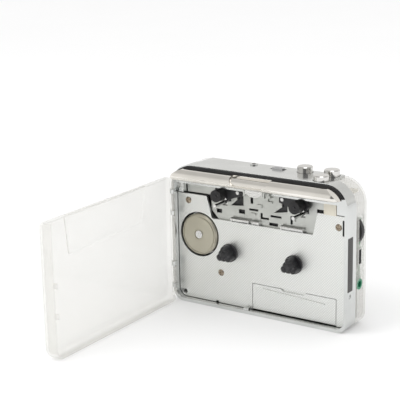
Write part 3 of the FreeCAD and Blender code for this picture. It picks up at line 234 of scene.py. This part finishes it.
def make_looks():
    """One look for each material slot of the record."""
    return {
        "frame_chrome": metal("frame_chrome_look", (0.62, 0.63, 0.62), (0.68, 0.69, 0.68), (0.12, 0.20)),
        "roll_chrome": metal("roll_chrome_look", (0.78, 0.755, 0.71), (0.84, 0.815, 0.77), (0.07, 0.12)),
        "button_chrome": metal("button_chrome_look", (0.62, 0.61, 0.59), (0.70, 0.69, 0.67), (0.04, 0.08)),
        "hatched_silver": hatched_silver(),
        "clear_plastic": clear_plastic("clear_plastic_look", (0.76, 0.75, 0.71), 0.30, (0.06, 0.12)),
        "black_plastic": plastic(
            "black_plastic_look", (0.010, 0.010, 0.011), (0.022, 0.022, 0.024), (0.28, 0.42)
        ),
        "motor_shell": metal(
            "motor_shell_look", (0.43, 0.405, 0.325), (0.49, 0.465, 0.38), (0.30, 0.42), 700, metallic=0.75
        ),
        # Partly the plate's own grey and partly painted shade: this look is darkened to stand for the shade
        # inside the deck's window.
        "grey_plate": metal(
            "grey_plate_and_painted_shade_look", (0.49, 0.50, 0.475), (0.57, 0.58, 0.555), (0.30, 0.42), 600, (1, 1, 8)
        ),
        "steel": metal("steel_look", (0.66, 0.66, 0.65), (0.76, 0.76, 0.75), (0.16, 0.26)),
        "roller_rubber": plastic(
            "roller_rubber_look", (0.012, 0.012, 0.013), (0.022, 0.021, 0.021), (0.55, 0.7)
        ),
        "dark_plastic": plastic(
            "dark_plastic_look", (0.030, 0.030, 0.031), (0.050, 0.050, 0.052), (0.40, 0.55)
        ),
        "deck_screw_metal": metal("deck_screw_look", (0.30, 0.25, 0.19), (0.40, 0.34, 0.27), (0.22, 0.32)),
        "knob_metal": metal("knob_metal_look", (0.62, 0.62, 0.63), (0.72, 0.72, 0.73), (0.25, 0.35)),
        "lamp_lens": plastic("lamp_lens_look", (0.10, 0.07, 0.07), (0.16, 0.11, 0.11), (0.12, 0.2)),
        "cream_plastic": plastic("cream_plastic_look", (0.66, 0.62, 0.52), (0.74, 0.70, 0.60), (0.35, 0.5)),
        "brass_parts": metal("brass_parts_look", (0.60, 0.45, 0.20), (0.70, 0.54, 0.26), (0.22, 0.32)),
        "flywheel_zinc": metal(
            "flywheel_zinc_look", (0.50, 0.50, 0.50), (0.56, 0.56, 0.56), (0.26, 0.34), 400, depth=0.000002
        ),
        "grip_rubber": ribbed_rubber(),
        "board_green": board_green(),
        "jack_green": plastic("jack_green_look", (0.015, 0.17, 0.085), (0.025, 0.22, 0.11), (0.22, 0.32)),
    }


def dress_nodes(looks):
    """Gives every CAD node the look of its material slot."""
    slots = {row["node"]: row["material_slot"] for row in frame["record"]["subparts"]}
    for name, piece in frame["nodes"].items():
        look = looks[slots[name]]
        if piece.material_slots:
            for slot in piece.material_slots:
                slot.material = look
        else:
            piece.data.materials.append(look)


# ---------------------------------------------------------------- stage


def make_stage():
    """Pale floor and plain world."""
    bpy.ops.mesh.primitive_plane_add(size=FLOOR_SIZE, location=(0, 0, housing_low.z))
    floor = bpy.context.object
    floor.name = "floor"
    nodes = Nodes("floor_look")
    nodes.set(Roughness=0.9, Specular_IOR_Level=0.1)
    nodes.shades(nodes.noise(3, 2), (0.955, 0.955, 0.955), (0.965, 0.965, 0.965))
    floor.data.materials.append(nodes.material)
    make_world()
    bpy.context.scene.view_settings.view_transform = "Standard"


def blend_patch(tree, place, under, patch):
    """Lays a round soft-edged patch over the studio."""
    middle, edge, colour = patch
    towards = tree.nodes.new("ShaderNodeVectorMath")
    towards.operation = "DOT_PRODUCT"
    towards.inputs[1].default_value = middle
    tree.links.new(place.outputs["Generated"], towards.inputs[0])
    share = tree.nodes.new("ShaderNodeMapRange")
    share.inputs["From Min"].default_value = math.cos(math.radians(edge[1]))
    share.inputs["From Max"].default_value = math.cos(math.radians(edge[0]))
    tree.links.new(towards.outputs["Value"], share.inputs["Value"])
    blend = tree.nodes.new("ShaderNodeMix")
    blend.data_type = "RGBA"
    factor = next(item for item in blend.inputs if item.name == "Factor" and item.type == "VALUE")
    first, second = (item for item in blend.inputs if item.type == "RGBA")
    second.default_value = colour
    tree.links.new(share.outputs["Result"], factor)
    tree.links.new(under, first)
    return next(item for item in blend.outputs if item.type == "RGBA")


def studio_shades(tree, place):
    """Grey that changes with height, so polished metal has something to mirror."""
    parts = tree.nodes.new("ShaderNodeSeparateXYZ")
    height = tree.nodes.new("ShaderNodeMapRange")
    height.inputs["From Min"].default_value = -1.0
    height.inputs["From Max"].default_value = 1.0
    ramp = tree.nodes.new("ShaderNodeValToRGB")
    while len(ramp.color_ramp.elements) < len(STUDIO_SHADES):
        ramp.color_ramp.elements.new(0.5)
    for element, (position, shade) in zip(ramp.color_ramp.elements, STUDIO_SHADES):
        element.position = position
        element.color = (shade, shade * 0.99, shade * 0.97, 1)
    tree.links.new(place.outputs["Generated"], parts.inputs["Vector"])
    tree.links.new(parts.outputs["Z"], height.inputs["Value"])
    tree.links.new(height.outputs["Result"], ramp.inputs["Fac"])
    return ramp.outputs["Color"]


def background(tree):
    """White background of full strength."""
    node = tree.nodes.new("ShaderNodeBackground")
    node.inputs["Color"].default_value = WHITE
    node.inputs["Strength"].default_value = 1.0
    return node


def choose(tree, factor, without, when):
    """Shader that is `when` for one kind of ray and `without` for the others."""
    mix = tree.nodes.new("ShaderNodeMixShader")
    tree.links.new(factor, mix.inputs["Fac"])
    tree.links.new(without, mix.inputs[1])
    tree.links.new(when, mix.inputs[2])
    return mix.outputs["Shader"]


def make_world():
    """White to the camera and to matt surfaces; polished metal sees a graded studio."""
    world = bpy.data.worlds.new("studio")
    world.use_nodes = True
    tree = world.node_tree
    tree.nodes.remove(tree.nodes["Background"])
    place = tree.nodes.new("ShaderNodeTexCoord")
    rays = tree.nodes.new("ShaderNodeLightPath")
    plain = background(tree)
    graded = background(tree)
    seen = background(tree)
    darker = blend_patch(tree, place, studio_shades(tree, place), DARK_SIDE)
    brighter = blend_patch(tree, place, darker, SOFTBOX)
    tree.links.new(brighter, graded.inputs["Color"])
    matt, mirrored, backdrop = (node.outputs["Background"] for node in (plain, graded, seen))
    lit = choose(tree, rays.outputs["Is Glossy Ray"], matt, mirrored)
    final = choose(tree, rays.outputs["Is Camera Ray"], lit, backdrop)
    tree.links.new(final, tree.nodes["World Output"].inputs["Surface"])
    bpy.context.scene.world = world


def area_light(name, spot, aim, size, power):
    """Rectangular light that polished metal doesn't mirror; power in watts."""
    data = bpy.data.lights.new(name, "AREA")
    data.shape = "RECTANGLE"
    data.size, data.size_y = size
    data.energy = power
    light = bpy.data.objects.new(name, data)
    bpy.context.collection.objects.link(light)
    light.location = spot
    light.visible_glossy = False
    light.rotation_euler = (aim - light.location).to_track_quat("-Z", "Y").to_euler()


def make_lights():
    """Large key light at the left front, weaker one at the right."""
    middle = (housing_low + housing_high) / 2
    area_light("key", Vector((-0.5, -0.7, 0.9)), middle, (0.6, 0.6), 3)
    area_light("side", Vector((0.9, -0.2, 0.5)), middle, (0.5, 0.7), 1.2)


def make_camera():
    """Camera on a sphere round its target, rolled about its line of sight."""
    away = direction(CAMERA_AZIMUTH, CAMERA_ELEVATION)
    level = Vector((math.cos(CAMERA_AZIMUTH), math.sin(CAMERA_AZIMUTH), 0))
    upward = level.cross(-away)
    right = level * math.cos(CAMERA_ROLL) + upward * math.sin(CAMERA_ROLL)
    top = upward * math.cos(CAMERA_ROLL) - level * math.sin(CAMERA_ROLL)
    turn = Matrix((right, top, away)).transposed().to_4x4()
    data = bpy.data.cameras.new("camera")
    data.lens = CAMERA_LENS
    data.sensor_width = SENSOR
    data.clip_end = 50
    camera = bpy.data.objects.new("camera", data)
    bpy.context.collection.objects.link(camera)
    camera.matrix_world = Matrix.Translation(CAMERA_TARGET + away * CAMERA_DISTANCE) @ turn
    bpy.context.scene.camera = camera


dress_nodes(make_looks())
make_stage()
make_lights()
make_camera()
